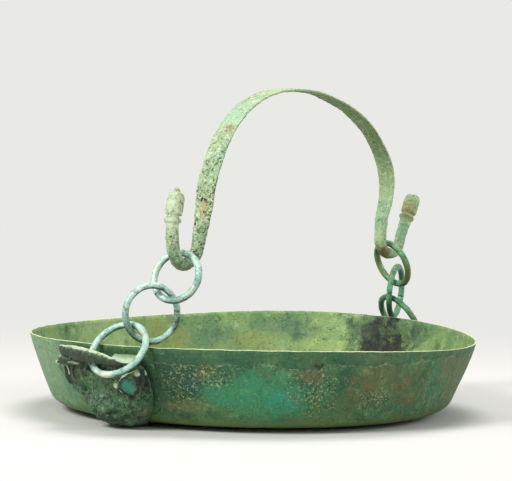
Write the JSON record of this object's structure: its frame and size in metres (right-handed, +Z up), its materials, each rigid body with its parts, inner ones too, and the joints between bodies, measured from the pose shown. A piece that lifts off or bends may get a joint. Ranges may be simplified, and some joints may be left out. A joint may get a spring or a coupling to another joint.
{
  "type": "hanging dish",
  "caption": "Shallow round bronze dish with a flat foot, hung from an arched strap handle by link chains that start at horned bull-head mounts on its wall.",
  "frame": {"origin": "middle of the dish's flat foot, on the surface it stands on", "axes": "+Z up; +X to the right and +Y away when the dish is seen from the front, with the left chain in front and the right chain behind"},
  "size_m": [0.302, 0.2996, 0.2186],
  "materials": {
    "vessel_bronze": "corroded bronze, mottled blue-green and olive patina",
    "mount_bronze": "corroded bronze, dark green patina with ochre spots",
    "ring_bronze": "corroded bronze, pale blue-green patina",
    "handle_bronze": "corroded bronze, pale yellow-green patina with dark pits",
    "solder": "dull grey-green solder"
  },
  "bodies": {
    "vessel": {"pan": "vessel_bronze", "left_mount": "mount_bronze", "left_solder": "solder", "right_mount": "mount_bronze", "right_solder": "solder"},
    "left_lower_ring": {"left_lower_ring": "ring_bronze"},
    "left_middle_ring": {"left_middle_ring": "ring_bronze"},
    "left_upper_ring": {"left_upper_ring": "ring_bronze"},
    "handle": {"handle": "handle_bronze"},
    "right_upper_ring": {"right_upper_ring": "ring_bronze"},
    "right_middle_ring": {"right_middle_ring": "ring_bronze"},
    "right_lower_ring": {"right_lower_ring": "ring_bronze"}
  },
  "joints": [
    {"name": "left_lower_swing", "type": "hinge", "parent": "vessel", "child": "left_lower_ring", "pos_m": [-0.0813, -0.1439, 0.04417], "axis": [0.5578, 0.8299, 0.0089], "range_deg": [-3, 5]},
    {"name": "left_middle_swing", "type": "hinge", "parent": "left_lower_ring", "child": "left_middle_ring", "pos_m": [-0.07414, -0.12749, 0.06412], "axis": [0.5791, 0.8152, -0.0004], "range_deg": [-14, 14]},
    {"name": "left_upper_swing", "type": "hinge", "parent": "left_middle_ring", "child": "left_upper_ring", "pos_m": [-0.05629, -0.12002, 0.08731], "axis": [0.5541, 0.8324, -0.0096], "range_deg": [-14, 8]},
    {"name": "handle_swing", "type": "hinge", "parent": "left_upper_ring", "child": "handle", "pos_m": [-0.04507, -0.1149, 0.11039], "axis": [0.5402, 0.8414, -0.0152], "range_deg": [-12, 15]},
    {"name": "right_upper_swing", "type": "hinge", "parent": "handle", "child": "right_upper_ring", "pos_m": [0.09538, 0.10387, 0.10643], "axis": [0.5402, 0.8414, -0.0152], "range_deg": [-15, 12]},
    {"name": "right_middle_swing", "type": "hinge", "parent": "right_upper_ring", "child": "right_middle_ring", "pos_m": [0.10032, 0.11522, 0.08459], "axis": [0.5541, 0.8324, -0.0096], "range_deg": [-8, 14]},
    {"name": "right_lower_swing", "type": "hinge", "parent": "right_middle_ring", "child": "right_lower_ring", "pos_m": [0.10388, 0.1231, 0.06401], "axis": [0.5791, 0.8152, -0.0004], "range_deg": [-14, 14]}
  ],
  "couplings": [
    {"joint": "right_upper_swing", "follows": "handle_swing", "ratio": -1},
    {"joint": "right_middle_swing", "follows": "left_upper_swing", "ratio": -1},
    {"joint": "right_lower_swing", "follows": "left_middle_swing", "ratio": -1}
  ]
}
